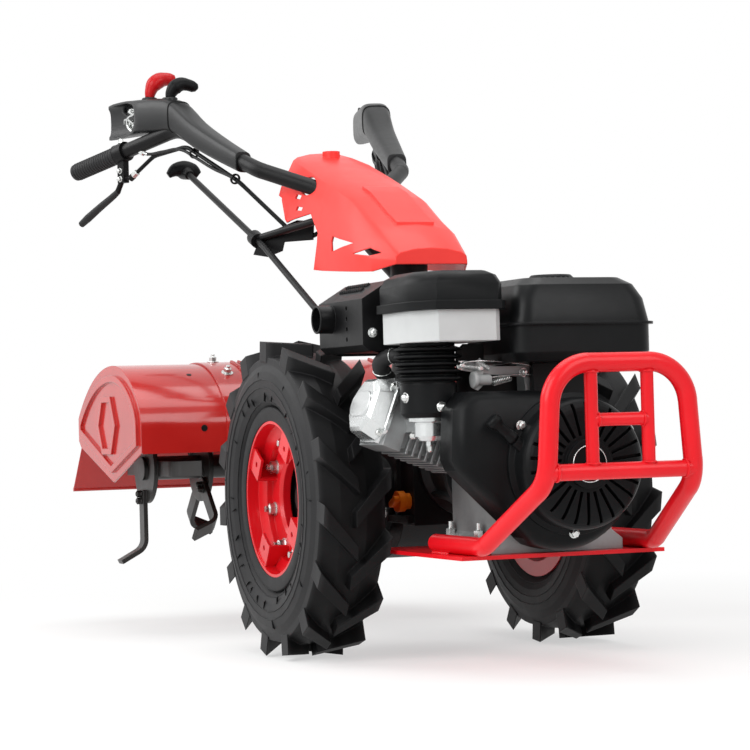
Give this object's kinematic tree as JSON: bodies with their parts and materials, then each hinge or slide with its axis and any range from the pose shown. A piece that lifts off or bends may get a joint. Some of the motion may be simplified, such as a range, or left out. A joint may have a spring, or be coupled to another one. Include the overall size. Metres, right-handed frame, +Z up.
{
  "type": "walking tractor with rotary tiller",
  "caption": "Two-wheeled walking tractor with front engine, tube bumper, lugged tyres, swivelling handlebar and a rear rotary tiller under a hinged hood flap.",
  "frame": {"origin": "on the ground, at the centre of the machine's length and width", "axes": "+X forward, +Y to the machine's left, +Z up"},
  "size_m": [1.6972, 0.75, 1.074],
  "materials": {
    "tyre_rubber": "matte rubber",
    "red_paint": "gloss paint",
    "fairing_red": "gloss moulded plastic",
    "black_paint": "satin black paint",
    "black_casting": "painted casting",
    "black_alloy": "painted alloy casting",
    "black_plastic": "satin black plastic",
    "raw_alloy": "cast alloy",
    "bright_alloy": "bright alloy",
    "pale_plastic": "pale grey plastic",
    "grip_rubber": "soft rubber",
    "orange_plastic": "orange plastic",
    "tiller_red": "gloss paint",
    "tine_steel": "dark forged steel",
    "red_plastic": "red plastic"
  },
  "bodies": {
    "chassis": {"gearbox": "black_alloy", "bell_housing": "black_alloy", "column": "black_paint", "base_plate": "red_paint", "bumper": "red_paint", "engine_block": "raw_alloy", "blower_housing": "black_plastic", "recoil_starter": "black_plastic", "pull_handle": "black_plastic", "rocker_cover": "bright_alloy", "fuel_tank": "black_plastic", "tank_cap": "black_plastic", "air_box": "pale_plastic", "air_cover": "black_plastic", "intake_sleeve": "black_plastic", "carburettor": "bright_alloy", "muffler": "black_alloy", "oil_cap": "orange_plastic", "tiller_case": "black_casting", "centre_hood": "tiller_red", "side_hood_right": "tiller_red", "side_hood_left": "tiller_red", "depth_skid": "black_paint"},
    "wheel_right": {"tyre_right": "tyre_rubber", "rim_right": "red_paint", "hub_right": "black_paint"},
    "wheel_left": {"tyre_left": "tyre_rubber", "rim_left": "red_paint", "hub_left": "black_paint"},
    "handlebar": {"steering_head": "black_paint", "fairing": "fairing_red", "bar_right": "black_paint", "bar_left": "black_paint", "cover_right": "black_plastic", "cover_left": "black_plastic", "console_lever_red": "red_plastic", "console_lever_black": "black_plastic", "cable_right": "black_plastic", "cable_left": "black_plastic", "grip_right": "grip_rubber", "grip_left": "grip_rubber", "hand_lever_right": "black_paint", "hand_lever_left": "black_paint", "shift_rod": "black_paint"},
    "rotor": {"tine_rotor": "tine_steel"},
    "flap": {"rear_flap": "tiller_red"}
  },
  "joints": [
    {"name": "wheel_right_spin", "type": "hinge", "parent": "chassis", "child": "wheel_right", "pos_m": [0.14841, -0.236, 0.26], "axis": [0, 1, 0], "continuous": true},
    {"name": "wheel_left_spin", "type": "hinge", "parent": "chassis", "child": "wheel_left", "pos_m": [0.14841, 0.236, 0.26], "axis": [0, 1, 0], "continuous": true},
    {"name": "rotor_spin", "type": "hinge", "parent": "chassis", "child": "rotor", "pos_m": [-0.49859, 0, 0.305], "axis": [0, 1, 0], "continuous": true},
    {"name": "flap_hinge", "type": "hinge", "parent": "chassis", "child": "flap", "pos_m": [-0.67359, 0, 0.44843], "axis": [0, 1, 0], "range_deg": [0, 75]},
    {"name": "handlebar_swivel", "type": "hinge", "parent": "chassis", "child": "handlebar", "pos_m": [0.06841, 0, 0.63], "axis": [0, 0, 1], "range_deg": [-30, 180]}
  ]
}
